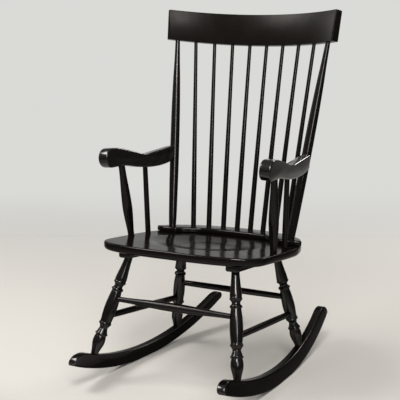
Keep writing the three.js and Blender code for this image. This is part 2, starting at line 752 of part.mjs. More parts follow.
sides.forEach(([side, name], i) => {
  addTurned(`back_post_${name}`, posts[i], cutSockets(turnedSolid(posts[i], 0), [armTenons[i]]));

  const arm = cutSockets(armBlank(side), [posts[i], armPosts[i], armSpindles[i]]);
  addPiece(`arm_${name}`, arm.add(turnedSolid(armTenons[i], 0)), armMatrix(side), lacquer);
  addTurned(`arm_post_${name}`, armPosts[i], turnedSolid(armPosts[i], 0));
  addTurned(`arm_spindle_${name}`, armSpindles[i], turnedSolid(armSpindles[i], 0));

  const legsHere = [frontLegs[i], rearLegs[i]];
  const cleat = cutSockets(cleatBlank(side), [...legsHere, ...screws[i]]);
  addPiece(`seat_cleat_${name}`, cleat, cleatMatrix(side), lacquer);
  screws[i].forEach((screw, j) => {
    addPiece(`cleat_screw_${name}_${j + 1}`, turnedSolid(screw, 0), screw.matrix, steel);
  });

  const tenons = legsHere.map(legTenon);
  const rockerSpace = rockerBlank(side, jointGap);
  const crossStretchers = [frontStretcher, rearStretcher];
  legsHere.forEach((member, j) => {
    const button = legButtons[i][j];
    const turned = cutSockets(turnedSolid(member, 0), [crossStretchers[j], sideStretchers[i], button]);
    const footed = turned.subtract(rockerSpace).add(turnedSolid(tenons[j], 0));
    const place = `${j === 0 ? 'front' : 'rear'}_${name}`;
    addTurned(`leg_${place}`, member, footed);
    addTurned(`leg_button_${place}`, button, turnedSolid(button, 0));
  });
  addTurned(`stretcher_${name}`, sideStretchers[i], turnedSolid(sideStretchers[i], 0));
  addPiece(`rocker_${name}`, cutSockets(rockerBlank(side, 0), tenons), rockerMatrix(side), lacquer);
});

export default chair;
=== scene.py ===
import math

import bmesh
import bpy
from mathutils import Matrix, Vector


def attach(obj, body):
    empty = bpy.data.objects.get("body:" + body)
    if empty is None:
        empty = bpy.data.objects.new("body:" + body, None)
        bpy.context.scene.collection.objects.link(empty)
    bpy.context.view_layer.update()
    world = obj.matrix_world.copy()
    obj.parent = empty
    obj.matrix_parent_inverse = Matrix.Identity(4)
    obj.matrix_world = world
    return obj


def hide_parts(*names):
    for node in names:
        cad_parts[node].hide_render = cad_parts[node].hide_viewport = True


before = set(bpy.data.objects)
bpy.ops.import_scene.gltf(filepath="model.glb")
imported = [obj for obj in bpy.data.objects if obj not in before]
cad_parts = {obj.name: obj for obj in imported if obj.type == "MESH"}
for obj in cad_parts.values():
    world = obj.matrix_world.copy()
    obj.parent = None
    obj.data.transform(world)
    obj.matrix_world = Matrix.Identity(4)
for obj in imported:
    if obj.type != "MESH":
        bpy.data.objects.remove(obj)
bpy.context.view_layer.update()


# Seat plank. Solid hardwood, 26 mm thick, sawn to a shield outline with rounded edges and
# hollowed by a shallow dish. It tips back, and it is sprayed with glossy black lacquer.
deck_height = 0.4065
seat_pitch = math.radians(4.6)
seat_half_width = 0.272
seat_front = 0.291
seat_back = 0.234
seat_thickness = 0.026
seat_top_round = 0.005
seat_under_round = 0.013
# Half the outline, as shares of the half width and of the reach to the front and to the back.
seat_front_shares = [
    (0, 1), (0.24, 1), (0.47, 0.985), (0.69, 0.945), (0.835, 0.89),
    (0.92, 0.825), (0.975, 0.74), (0.995, 0.65), (1, 0.4), (1, 0.1),
]
seat_back_shares = [
    (0.99, 0.14), (0.97, 0.27), (0.925, 0.45), (0.87, 0.57),
    (0.78, 0.68), (0.61, 0.83), (0.4, 0.935), (0.19, 0.985), (0, 1),
]
dish_half_width = 0.196
dish_half_depth = 0.178
dish_centre = Vector((0, -0.045, 0))
dish_depth = 0.009
dish_slope_share = 0.62
dish_rings = 40
seat_matrix = Matrix.Translation((0, 0, deck_height)) @ Matrix.Rotation(-seat_pitch, 4, "X")


def linear_colour(hex_colour):
    """The linear colour of an sRGB hex value."""
    parts = [int(hex_colour[i:i + 2], 16) / 255 for i in (1, 3, 5)]
    return [p / 12.92 if p <= 0.04045 else ((p + 0.055) / 1.055) ** 2.4 for p in parts] + [1]


def add_node(tree, kind, inputs=None, **settings):
    """Adds a node with its settings, and with values or links on its inputs."""
    node = tree.nodes.new(kind)
    for name, value in settings.items():
        setattr(node, name, value)
    for name, value in (inputs or {}).items():
        if isinstance(value, bpy.types.NodeSocket):
            tree.links.new(value, node.inputs[name])
        else:
            node.inputs[name].default_value = value
    return node


def black_lacquer(name, grain_stretch, base, glint, gloss, satin, grain_depth, shine=0.5, graze=0.02):
    """Sprayed lacquer on close-grained hardwood: near black, with the grain just telegraphing through,
    a clear glossy film, fine spray texture and a slow change of gloss where it was rubbed or handled.
    Its colour runs from base to glint with the grain, its roughness from gloss to satin with the
    clouds, and its shine falls to graze where it is seen along."""
    material = bpy.data.materials.new(name)
    material.use_nodes = True
    tree = material.node_tree
    surface = tree.nodes["Principled BSDF"]
    place = add_node(tree, "ShaderNodeTexCoord").outputs["Object"]
    along = add_node(tree, "ShaderNodeMapping", {"Vector": place, "Scale": grain_stretch})
    # Grain lines about 1.5 mm apart, drawn out along the board.
    grain = add_node(tree, "ShaderNodeTexNoise", {
        "Vector": along.outputs["Vector"], "Scale": 620, "Detail": 4, "Roughness": 0.6})
    # Clouds about 60 mm across, where the film is a little thicker or more rubbed.
    cloud = add_node(tree, "ShaderNodeTexNoise", {"Vector": place, "Scale": 16, "Detail": 3})
    # Spray texture of about 2 mm.
    spray = add_node(tree, "ShaderNodeTexNoise", {"Vector": place, "Scale": 480, "Detail": 1})
    colour = add_node(tree, "ShaderNodeMix", {
        "Factor": grain.outputs["Fac"], "A": linear_colour(base), "B": linear_colour(glint)},
        data_type="RGBA")
    roughness = add_node(tree, "ShaderNodeMapRange", {
        "Value": cloud.outputs["Fac"], "From Min": 0.3, "From Max": 0.7, "To Min": gloss, "To Max": satin})
    relief = add_node(tree, "ShaderNodeMath", {
        0: grain.outputs["Fac"], 1: grain_depth}, operation="MULTIPLY")
    height = add_node(tree, "ShaderNodeMath", {
        0: spray.outputs["Fac"], 1: 0.12, 2: relief.outputs["Value"]}, operation="MULTIPLY_ADD")
    bump = add_node(tree, "ShaderNodeBump", {
        "Height": height.outputs["Value"], "Strength": 0.12, "Distance": 0.0004})
    # The film is clear when faced and duller along it, where its fine texture scatters the light.
    facing = add_node(tree, "ShaderNodeLayerWeight", {"Blend": 0.5})
    specular = add_node(tree, "ShaderNodeMapRange", {
        "Value": facing.outputs["Facing"], "From Min": 0.12, "From Max": 0.5,
        "To Min": shine, "To Max": graze})
    tree.links.new(specular.outputs["Result"], surface.inputs["Specular IOR Level"])
    # The socket's own number is the middle of that range, for an export that drops the link.
    surface.inputs["Specular IOR Level"].default_value = (shine + graze) / 2
    tree.links.new(colour.outputs["Result"], surface.inputs["Base Color"])
    tree.links.new(roughness.outputs["Result"], surface.inputs["Roughness"])
    tree.links.new(bump.outputs["Normal"], surface.inputs["Normal"])
    surface.inputs["IOR"].default_value = 1.5
    return material


# Black pigmented lacquer over the seat's crosswise grain: glossy, and a little dulled by use.
lacquer_black = "#080706"
lacquer_glint = "#120e0d"
crosswise_lacquer = black_lacquer(
    "black_lacquer_crosswise_grain", (0.05, 1, 1), lacquer_black, lacquer_glint,
    gloss=0.13, satin=0.2, grain_depth=0.5, shine=0.38)


def smooth_stretch(a, b, c, d, steps):
    """Points from b to just short of c, on the smooth line that runs through a, b, c and d."""
    return [
        0.5 * (2 * b + (c - a) * t + (2 * a - 5 * b + 4 * c - d) * t ** 2 + (3 * b - 3 * c + d - a) * t ** 3)
        for t in (step / steps for step in range(steps))
    ]


def smooth_closed(points, steps):
    """A closed smooth line through the points, with so many steps between each pair."""
    line = []
    for i in range(len(points)):
        line += smooth_stretch(*(Vector(points[(i + k) % len(points)]) for k in (-1, 0, 1, 2)), steps)
    return line


def mirrored(half):
    """The half outline on the right and its mirror image on the left, as one loop."""
    return half + [(-x, y) for x, y in half[-2:0:-1]]


def sawn_board(outline, thickness, top_round, under_round, segments=5):
    """A board in its own frame: the outline from z = 0 up, with its upper and lower rims rounded."""
    bm = bmesh.new()
    face = bm.faces.new([bm.verts.new((x, y, 0)) for x, y in outline])
    if face.normal.z > 0:
        face.normal_flip()
    raised = bmesh.ops.extrude_face_region(bm, geom=[face])["geom"]
    upper = [g for g in raised if isinstance(g, bmesh.types.BMVert)]
    bmesh.ops.translate(bm, vec=(0, 0, thickness), verts=upper)
    bmesh.ops.recalc_face_normals(bm, faces=bm.faces)
    for level, size in ((thickness, top_round), (0, under_round)):
        rim = [e for e in bm.edges if all(abs(v.co.z - level) < 1e-6 for v in e.verts)]
        bmesh.ops.bevel(bm, geom=rim, offset=size, segments=segments, profile=0.5, affect="EDGES",
                        material=-1, clamp_overlap=False)
    return bm


def finished(name, bm, matrix, material, nodes):
    """Makes the piece from its mesh, puts it in its place, and lets it stand for its CAD nodes."""
    bmesh.ops.transform(bm, matrix=matrix, verts=bm.verts)
    bmesh.ops.recalc_face_normals(bm, faces=bm.faces)
    mesh = bpy.data.meshes.new(name)
    bm.to_mesh(mesh)
    bm.free()
    mesh.shade_smooth()
    mesh.set_sharp_from_angle(angle=math.radians(38))
    mesh.materials.append(material)
    piece = bpy.data.objects.new(name, mesh)
    bpy.context.collection.objects.link(piece)
    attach(piece, "root")
    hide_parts(*nodes)


def dished_top(bm):
    """Swaps the flat top for rings that close on the middle of the dish, and sinks them into it."""
    top = max((f for f in bm.faces if f.normal.z > 0.9), key=lambda f: f.calc_area())
    loop = list(top.edges)
    bmesh.ops.delete(bm, geom=[top], context="FACES_ONLY")
    for ring in range(dish_rings, 0, -1):
        grown = bmesh.ops.extrude_edge_only(bm, edges=loop)["geom"]
        inner = [g for g in grown if isinstance(g, bmesh.types.BMVert)]
        share = (ring - 1) / ring
        bmesh.ops.scale(bm, vec=(share, share, 1), verts=inner, space=Matrix.Translation(-dish_centre))
        loop = [g for g in grown if isinstance(g, bmesh.types.BMEdge) and all(v in inner for v in g.verts)]
    bmesh.ops.remove_doubles(bm, verts=bm.verts, dist=1e-6)
    for vert in bm.verts:
        if vert.co.z > seat_thickness - 1e-5:
            out = math.hypot(vert.co.x / dish_half_width, (vert.co.y - dish_centre.y) / dish_half_depth)
            fall = min(1, max(0, (1 - out) / dish_slope_share))
            vert.co.z -= dish_depth * fall * fall * (3 - 2 * fall)


seat_half = [(x * seat_half_width, -y * seat_front) for x, y in seat_front_shares]
seat_half += [(x * seat_half_width, y * seat_back) for x, y in seat_back_shares]
seat_bm = sawn_board(
    smooth_closed(mirrored(seat_half), 4), seat_thickness, seat_top_round, seat_under_round)
dished_top(seat_bm)
finished("seat_plank", seat_bm, seat_matrix @ Matrix.Translation((0, 0, -seat_thickness)),
         crosswise_lacquer, ["seat"])


# Riser. A shaped moulding 17 mm thick, glued and screwed along the back of the deck. Its front
# edge is a bullnose: a shallow bay, a sharp corner and a round lobe at each end.
riser_thickness = 0.017
riser_inset = 0.001
riser_clearance = 0.0003
riser_top_round = 0.005
riser_under_round = 0.004
riser_bay_shares = [
    (0, 0.597), (0.21, 0.59), (0.39, 0.555), (0.46, 0.525), (0.54, 0.465), (0.62, 0.405), (0.686, 0.335),
]
riser_lobe_shares = [
    (0.686, 0.335), (0.75, 0.318), (0.85, 0.315), (0.915, 0.335), (0.955, 0.375), (0.925, 0.45),
]


def smooth_open(points, steps):
    """A smooth line through the points, from the first to the last."""
    line = []
    last = len(points) - 1
    for i in range(last):
        line += smooth_stretch(*(Vector(points[min(max(i + k, 0), last)]) for k in (-1, 0, 1, 2)), steps)
    return line + [Vector(points[-1])]


riser_half = []
for run, run_steps in ((riser_bay_shares, 6), (riser_lobe_shares, 8), (seat_back_shares[2:], 5)):
    riser_half += smooth_open(run, run_steps)[1 if riser_half else 0:]
riser_half = [(x * (seat_half_width - riser_inset), y * (seat_back - riser_inset)) for x, y in riser_half]
riser_bm = sawn_board(
    mirrored(riser_half), riser_thickness - riser_clearance, riser_top_round, riser_under_round, 6)
finished("back_riser_moulding", riser_bm, seat_matrix @ Matrix.Translation((0, 0, riser_clearance)),
         crosswise_lacquer, ["back_riser"])


# Crest rail. A board 98 mm high and 22 mm thick, steam-bent to a radius of 600 mm and leaned
# back, a little wider at its top than at its foot. Its lacquer is rubbed to a satin.
crest_half_width = 0.3005
crest_flare = 0.006
crest_height = 0.0985
crest_sag = 0.0025
crest_thickness = 0.022
crest_radius = 0.6
crest_corner_round = 0.005
crest_ease = 0.0016
crest_lean = math.radians(12.5)
crest_matrix = Matrix.Translation((0, 0.306, 1.0055)) @ Matrix.Rotation(-crest_lean, 4, "X")
crest_half_angle = math.asin(crest_half_width / crest_radius)
# The same lacquer rubbed down to a satin: it shows more of the grain and mirrors only a soft blur.
satin_lacquer = black_lacquer(
    "black_lacquer_rubbed_satin", (0.03, 1, 1), "#0b0a08", "#1a1714",
    gloss=0.25, satin=0.34, grain_depth=1.0, shine=0.085, graze=0.2)


def crest_hang(angle):
    """How far the crest's lower edge hangs down at this angle of the bend, most in the middle."""
    return crest_sag * (1 - (angle / crest_half_angle) ** 2)


crest_bm = bmesh.new()
crest_section = [
    crest_bm.verts.new((0, out * crest_thickness, up * crest_height))
    for out, up in ((-0.5, 0), (0.5, 0), (0.5, 1), (-0.5, 1))
]
crest_bm.faces.new(crest_section)
bmesh.ops.rotate(crest_bm, cent=(0, -crest_radius, 0), verts=crest_section,
                 matrix=Matrix.Rotation(crest_half_angle, 3, "Z"))
bmesh.ops.spin(crest_bm, geom=list(crest_bm.verts) + list(crest_bm.edges) + list(crest_bm.faces),
               cent=(0, -crest_radius, 0), axis=(0, 0, -1), angle=2 * crest_half_angle, steps=56)
bmesh.ops.recalc_face_normals(crest_bm, faces=crest_bm.faces)
crest_corners = [e for e in crest_bm.edges if all(v.co.z > crest_height - 1e-5 for v in e.verts)
                 and e.calc_face_angle() > 1 and abs(e.verts[0].co.x) > 0.9 * crest_half_width
                 and abs(e.calc_length() - crest_thickness) < 1e-4]
bmesh.ops.bevel(crest_bm, geom=crest_corners, offset=crest_corner_round, segments=5, profile=0.5,
                affect="EDGES", material=-1)
crest_rims = [e for e in crest_bm.edges if len(e.link_faces) == 2 and e.calc_face_angle() > 1]
bmesh.ops.bevel(crest_bm, geom=crest_rims, offset=crest_ease, segments=3, profile=0.5,
                affect="EDGES", material=-1)
for vert in crest_bm.verts:
    from_axis = vert.co.y + crest_radius
    angle = math.atan2(vert.co.x, from_axis)
    reach = math.hypot(vert.co.x, from_axis)
    rise = vert.co.z / crest_height
    flared = angle * (1 + rise * crest_flare / crest_half_width)
    vert.co = Vector((reach * math.sin(flared), reach * math.cos(flared) - crest_radius,
                      vert.co.z - crest_hang(angle) * (1 - rise)))
finished("crest_board", crest_bm, crest_matrix, satin_lacquer, ["crest_rail"])


# Back posts. Two members turned between centres, thickest at elbow height and slender at the
# crest. They pass through the riser into the seat, and their heads are let into the crest.
sides = ((-1, "left"), (1, "right"))
post_radius = 0.015
post_foot_x = 0.214
post_foot_y = 0.108
post_head_x = 0.27
post_foot_depth = 0.03
post_head_depth = 0.02
# Lacquer on turned pieces, which are sanded on the lathe: the smoothest film, over upright grain.
upright_lacquer = black_lacquer(
    "black_lacquer_upright_grain", (1, 1, 0.05), lacquer_black, lacquer_glint,
    gloss=0.12, satin=0.19, grain_depth=0.5)
post_profile = [
    (0, 0.78), (0.06, 0.87), (0.15, 0.92), (0.25, 0.97), (0.4, 1), (0.52, 0.98),
    (0.63, 0.94), (0.71, 0.87), (0.8, 0.77), (0.89, 0.62), (1, 0.5),
]


def over_deck(x, y, height):
    """The point over plan position x, y at a height square to the deck."""
    return Vector((x, y, deck_height - y * math.tan(seat_pitch) + height / math.cos(seat_pitch)))


def crest_foot(x):
    """The point of the crest's lower edge at this distance from its middle."""
    angle = math.asin(x / crest_radius)
    return crest_matrix @ Vector((x, crest_radius * math.cos(angle) - crest_radius, -crest_hang(angle)))


def turned(name, runs, radius, foot, head, foot_depth, head_depth, nodes, around=36,
           lacquer=upright_lacquer):
    """A turned member from foot to head. Each run of its profile is smooth, with an arris between runs.
    The profile gives shares of the length and of the largest radius. The depths go into the sockets."""
    axis = head - foot
    line = [point for run in runs for point in smooth_open(run, 3)]
    outline = [(0, -foot_depth), (line[0].y * radius, -foot_depth)]
    outline += [(out * radius, along * axis.length) for along, out in line]
    outline += [(line[-1].y * radius, axis.length + head_depth), (0, axis.length + head_depth)]
    bm = bmesh.new()
    verts = [bm.verts.new((out, 0, along)) for out, along in outline]
    edges = [bm.edges.new(pair) for pair in zip(verts, verts[1:])]
    bmesh.ops.spin(bm, geom=verts + edges, cent=(0, 0, 0), axis=(0, 0, 1), angle=2 * math.pi,
                   steps=around, use_merge=True)
    bmesh.ops.remove_doubles(bm, verts=bm.verts, dist=1e-6)
    turn = axis.to_track_quat("Z", "Y").to_matrix().to_4x4()
    finished(name, bm, Matrix.Translation(foot) @ turn, lacquer, nodes)


def post_ends(side):
    """The post's axis, from the top of the riser to the crest's lower edge."""
    return over_deck(side * post_foot_x, post_foot_y, riser_thickness), crest_foot(side * post_head_x)


for side, label in sides:
    turned(f"turned_post_{label}", [post_profile], post_radius, *post_ends(side),
           post_foot_depth, post_head_depth, [f"back_post_{label}"])


# Back spindles. Eight slender turned rods fanned out between the riser and the crest, a little
# stouter at the foot. Each is glued into blind holes at both ends.
spindle_profile = [(0, 1), (0.25, 0.94), (0.5, 0.84), (0.75, 0.73), (1, 0.66)]
spindle_radius = 0.0086
spindle_count = 8
spindle_foot_spacing = 0.0485
spindle_head_spacing = 0.061
spindle_foot_depth = 0.012
spindle_head_depth = 0.018
# The feet stand on an arc of this radius, whose rearmost point is at this y.
spindle_arc_radius = 0.4
spindle_arc_back = 0.209
for number in range(1, spindle_count + 1):
    place = number - (spindle_count + 1) / 2
    foot_x = place * spindle_foot_spacing
    foot_y = spindle_arc_back - spindle_arc_radius + math.sqrt(spindle_arc_radius ** 2 - foot_x ** 2)
    turned(f"turned_spindle_{number}", [spindle_profile], spindle_radius,
           over_deck(foot_x, foot_y, riser_thickness), crest_foot(place * spindle_head_spacing),
           spindle_foot_depth, spindle_head_depth, [f"back_spindle_{number}"], around=28)


# Riser plugs. Three small face-grain plugs, lacquered over, that hide the screws which hold the
# riser to the deck. They stand a hair proud where the lacquer has drawn round them.
plug_radius = 0.0045
plug_length = 0.008
plug_ease = 0.0008
plug_proud = 0.0002
for label, x, y in (("left", -0.189, 0.152), ("middle", 0, 0.214), ("right", 0.189, 0.152)):
    plug_bm = bmesh.new()
    bmesh.ops.create_cone(plug_bm, cap_ends=True, segments=32, radius1=plug_radius,
                          radius2=plug_radius, depth=plug_length)
    plug_rim = [e for e in plug_bm.edges if all(v.co.z > 0 for v in e.verts)]
    bmesh.ops.bevel(plug_bm, geom=plug_rim, offset=plug_ease, segments=3, profile=0.5,
                    affect="EDGES", material=-1)
    plug_middle = Matrix.Translation((x, y, riser_thickness + plug_proud - plug_length / 2))
    finished(f"plug_{label}", plug_bm, seat_matrix @ plug_middle, crosswise_lacquer,
             [f"riser_plug_{label}"])


# Arms. Sawn from a board 35 mm thick: a rolled front end, a hollow for the forearm, and a rising
# rear end that is tenoned into its post. The edges are eased by hand before lacquering.
arm_width = 0.035
arm_rear_width = 0.027
arm_length = 0.367
arm_base = 0.62
arm_rise = 0.082
arm_nose_radius = 0.03
arm_nose_base = 0.022
arm_middle_x = 0.2516
arm_toe = 0.082
arm_tilt = math.radians(4)
arm_ease = 0.0045
arm_post_gap = 0.011
# The side view, as shares of the arm's length and rise: the top from the post to the nose, and the
# underside from the nose to the post.
arm_top = [
    (0.92, 0.675), (0.84, 0.645), (0.71, 0.6), (0.6, 0.565), (0.5, 0.61), (0.4, 0.73), (0.24, 0.915),
    (0.15, 0.985),
]
arm_rear_top = 0.69
arm_underside = [
    (0.17, 0.27), (0.276, 0.245), (0.4, 0.14), (0.49, 0.075), (0.6, 0.02), (0.72, 0), (0.82, 0.02),
    (0.91, 0.075),
]
arm_rear_underside = 0.165
# Lacquer that hands and forearms have polished: an even, strong gloss, also where it is seen along.
handled_lacquer = black_lacquer(
    "black_lacquer_polished_by_hands", (1, 0.05, 1), lacquer_black, lacquer_glint,
    gloss=0.13, satin=0.21, grain_depth=0.5, shine=1, graze=0.42)


def board_axes(along):
    """The turn of a board that stands on edge: x along it, y up and z across."""
    return Matrix((along, (0, 0, 1), along.cross(Vector((0, 0, 1))))).transposed().to_4x4()


def arm_matrix(side):
    """The arm's frame: x along it towards the post, y up and z across, with the nose at x = 0."""
    foot, head = post_ends(side)
    height = arm_base + arm_rise * arm_rear_top
    rear = foot.lerp(head, (height - foot.z) / (head.z - foot.z)).y - arm_post_gap
    along = Vector((-side * arm_toe, 1, 0)).normalized()
    start = Vector((side * (arm_middle_x - arm_toe * rear), rear, arm_base)) - along * arm_length
    return Matrix.Translation(start) @ board_axes(along) @ Matrix.Rotation(side * arm_tilt, 4, "X")


nose_middle = Vector((arm_nose_radius, arm_nose_base + arm_nose_radius))
nose_top = nose_middle + Vector((0, arm_nose_radius))
nose_low = nose_middle - Vector((0, arm_nose_radius))
arm_top_points = [(x * arm_length, y * arm_rise) for x, y in [(1, arm_rear_top)] + arm_top]
arm_low_points = [(x * arm_length, y * arm_rise) for x, y in arm_underside + [(1, arm_rear_underside)]]
arm_upper_line = smooth_open(arm_top_points + [nose_top], 5)
arm_lower_line = smooth_open([nose_low] + arm_low_points, 5)
arm_nose_line = [
    nose_middle + arm_nose_radius * Vector((-math.sin(turn), math.cos(turn)))
    for turn in (math.pi * i / 20 for i in range(1, 20))
]
for side, label in sides:
    arm_bm = sawn_board(arm_upper_line + arm_nose_line + arm_lower_line, arm_width, arm_ease, arm_ease, 4)
    bmesh.ops.translate(arm_bm, vec=(0, 0, -arm_width / 2), verts=arm_bm.verts)
    for vert in arm_bm.verts:
        vert.co.z *= 1 - (1 - arm_rear_width / arm_width) * vert.co.x / arm_length
    finished(f"scrolled_arm_{label}", arm_bm, arm_matrix(side), handled_lacquer,
             [f"arm_{label}"])


# Arm supports. A turned post carries the front of each arm and swells at its middle, and a plain
# spindle stands behind it. Both are glued into the deck and into the arm's underside.
arm_post_radius = 0.0155
arm_spindle_radius = 0.0087
arm_support_foot_depth = 0.015
arm_support_head_depth = 0.014
arm_spindle_profile = [(0, 1), (0.5, 0.97), (1, 0.9)]
arm_post_profile = [
    (0, 0.66), (0.08, 0.67), (0.17, 0.77), (0.26, 0.88), (0.35, 0.96), (0.44, 1),
    (0.58, 0.95), (0.72, 0.85), (0.86, 0.73), (1, 0.66),
]
for side, label in sides:
    turned(f"turned_arm_post_{label}", [arm_post_profile], arm_post_radius,
           over_deck(side * 0.248, -0.091, 0),
           Vector((side * 0.261, -0.119, arm_base + arm_nose_base / 2)),
           arm_support_foot_depth, arm_support_head_depth, [f"arm_post_{label}"])
    turned(f"turned_arm_spindle_{label}", [arm_spindle_profile], arm_spindle_radius,
           over_deck(side * 0.242, 0, 0), Vector((side * 0.249, -0.003, arm_base)),
           arm_support_foot_depth, arm_support_head_depth, [f"arm_spindle_{label}"], around=28)


# Legs. Four of one pattern, turned from one length: a long taper, a ring and cove, a barrel, a
# second ring and cove, and a bulb above the foot. The heads go through the cleats into the seat.
cleat_thickness = 0.021
side_plane_x = 0.246
side_toe = 0.05
side_splay = 0.197
rocker_radius = 1.012
rocker_centre = 0.017
rocker_flat_half = 0.053
rocker_depth = 0.045
rocker_centre_height = math.sqrt(rocker_radius ** 2 - rocker_flat_half ** 2)
leg_radius = 0.0196
leg_head_depth = 0.028
leg_foot_depth = 0.01
# The y at which each leg's axis meets its cleat, and the y at which it meets its rocker.
leg_places = {"front": (-0.207, -0.312), "rear": (0.099, 0.153)}
leg_runs = [
    [(0, 0.6), (0.06, 0.65), (0.12, 0.73), (0.18, 0.84), (0.215, 0.9), (0.236, 0.92)],
    [(0.238, 0.885), (0.245, 0.885), (0.25, 0.9)],
    [(0.251, 0.935), (0.256, 0.965), (0.262, 0.965), (0.268, 0.9), (0.277, 0.79), (0.287, 0.69), (0.3, 0.64),
     (0.313, 0.68)],
    [(0.314, 0.74), (0.32, 0.83), (0.325, 0.88)],
    [(0.326, 0.93), (0.333, 0.965), (0.339, 0.935)],
    [(0.341, 0.86), (0.348, 0.79), (0.356, 0.785)],
    [(0.358, 0.8), (0.395, 0.87), (0.431, 0.93), (0.485, 0.985), (0.54, 1), (0.59, 0.97), (0.633, 0.91),
     (0.664, 0.865)],
    [(0.666, 0.9), (0.674, 0.9), (0.679, 0.95)],
    [(0.681, 0.985), (0.687, 1), (0.692, 0.96), (0.701, 0.86), (0.713, 0.73), (0.727, 0.65), (0.74, 0.64)],
    [(0.742, 0.66), (0.755, 0.73), (0.77, 0.81), (0.782, 0.88)],
    [(0.784, 0.95), (0.793, 1), (0.799, 0.96)],
    [(0.801, 0.87), (0.807, 0.84), (0.814, 0.85)],
    [(0.816, 0.865), (0.835, 0.925), (0.862, 0.96), (0.885, 0.945), (0.91, 0.87), (0.95, 0.7), (1, 0.54)],
]


def side_plane(side, y, z):
    """The point of the leaning plane that each side's legs and rocker lie in."""
    return Vector((side * (side_plane_x - side_toe * y - side_splay * z), y, z))


def rocker_top(side, y):
    """The point of the side plane on the rocker's upper face."""
    inner = rocker_radius - rocker_depth
    return side_plane(side, y, rocker_centre_height - math.sqrt(inner ** 2 - (y + rocker_centre) ** 2))


def leg_ends(side, top_y, foot_y):
    """The leg's axis, from under the cleat to the top of the rocker."""
    under_cleat = over_deck(0, top_y, -seat_thickness - cleat_thickness).z
    return side_plane(side, top_y, under_cleat), rocker_top(side, foot_y)


leg_axes = {}
for side, label in sides:
    for end, (top_y, foot_y) in leg_places.items():
        leg_axes[end, label] = leg_ends(side, top_y, foot_y)
        turned(f"turned_leg_{end}_{label}", leg_runs, leg_radius, *leg_axes[end, label],
               leg_head_depth, leg_foot_depth, [f"leg_{end}_{label}"], around=44)


# Stretchers. The front one swells in the middle, and the rear and side ones are plain, at
# staggered heights so that no two of their holes meet in a leg.
front_stretcher_radius = 0.0135
plain_stretcher_radius = 0.0102
# Each end stops this far short of the leg's axis, in a blind hole.
stretcher_end_gap = 0.007
stretcher_swell = [(0, 0.56), (0.15, 0.64), (0.3, 0.84), (0.5, 1), (0.7, 0.84), (0.85, 0.64), (1, 0.56)]
stretcher_plain = [(0, 0.82), (0.12, 0.94), (0.5, 1), (0.88, 0.94), (1, 0.82)]
# How far down the legs the stretchers meet them, as shares of the legs' length.
cross_stretcher_shares = {"front": 0.43, "rear": 0.443}
side_stretcher_shares = {"front": 0.61, "rear": 0.63}
# Lacquer that heels have dulled: fine scuffs break its gloss, so it mirrors the light as a blur.
scuffed_lacquer = black_lacquer(
    "black_lacquer_dulled_by_heels", (1, 1, 0.05), lacquer_black, lacquer_glint,
    gloss=0.24, satin=0.34, grain_depth=0.5, shine=0.45)


def on_leg(end, label, share):
    """The point at this share of a leg's length from its top."""
    top, foot = leg_axes[end, label]
    return top.lerp(foot, share)


for end, run, radius, lacquer in (
        ("front", stretcher_swell, front_stretcher_radius, scuffed_lacquer),
        ("rear", stretcher_plain, plain_stretcher_radius, upright_lacquer)):
    ends = [on_leg(end, label, cross_stretcher_shares[end]) for label in ("left", "right")]
    turned(f"turned_stretcher_{end}", [run], radius, *ends, -stretcher_end_gap, -stretcher_end_gap,
           [f"stretcher_{end}"], lacquer=lacquer)
for label in ("left", "right"):
    ends = [on_leg(end, label, share) for end, share in side_stretcher_shares.items()]
    turned(f"turned_stretcher_{label}", [stretcher_plain], plain_stretcher_radius, *ends,
           -stretcher_end_gap, -stretcher_end_gap, [f"stretcher_{label}"], around=28)


# Leg buttons. Small domed wooden plugs over the screws that pin the front and rear stretchers,
# set into the outer side of each leg and lacquered with it.
button_radius = 0.0045
button_sunk = 0.007
button_proud = 0.002
button_runs = [[(0, 1), (0.78, 1)], [(0.78, 1), (0.87, 0.93), (0.94, 0.76), (1, 0.4)]]
leg_radius_at_button = {"front": 0.0182, "rear": 0.0184}
for side, label in sides:
    outwards = Vector((side, 0, 0))
    for end, share in cross_stretcher_shares.items():
        axis_point = on_leg(end, label, share)
        turned(f"button_{end}_{label}", button_runs, button_radius,
               axis_point + outwards * (leg_radius_at_button[end] - button_sunk),
               axis_point + outwards * (leg_radius_at_button[end] + button_proud), 0, 0,
               [f"leg_button_{end}_{label}"], around=24)


# Cleats. Two battens screwed across the grain under the seat, with their lower edges rounded.
# They stiffen the plank where the legs are let in.
cleat_width = 0.042
cleat_length = 0.352
cleat_front_y = -0.228
cleat_clearance = 0.0003
cleat_round = 0.006
cleat_ease = 0.001
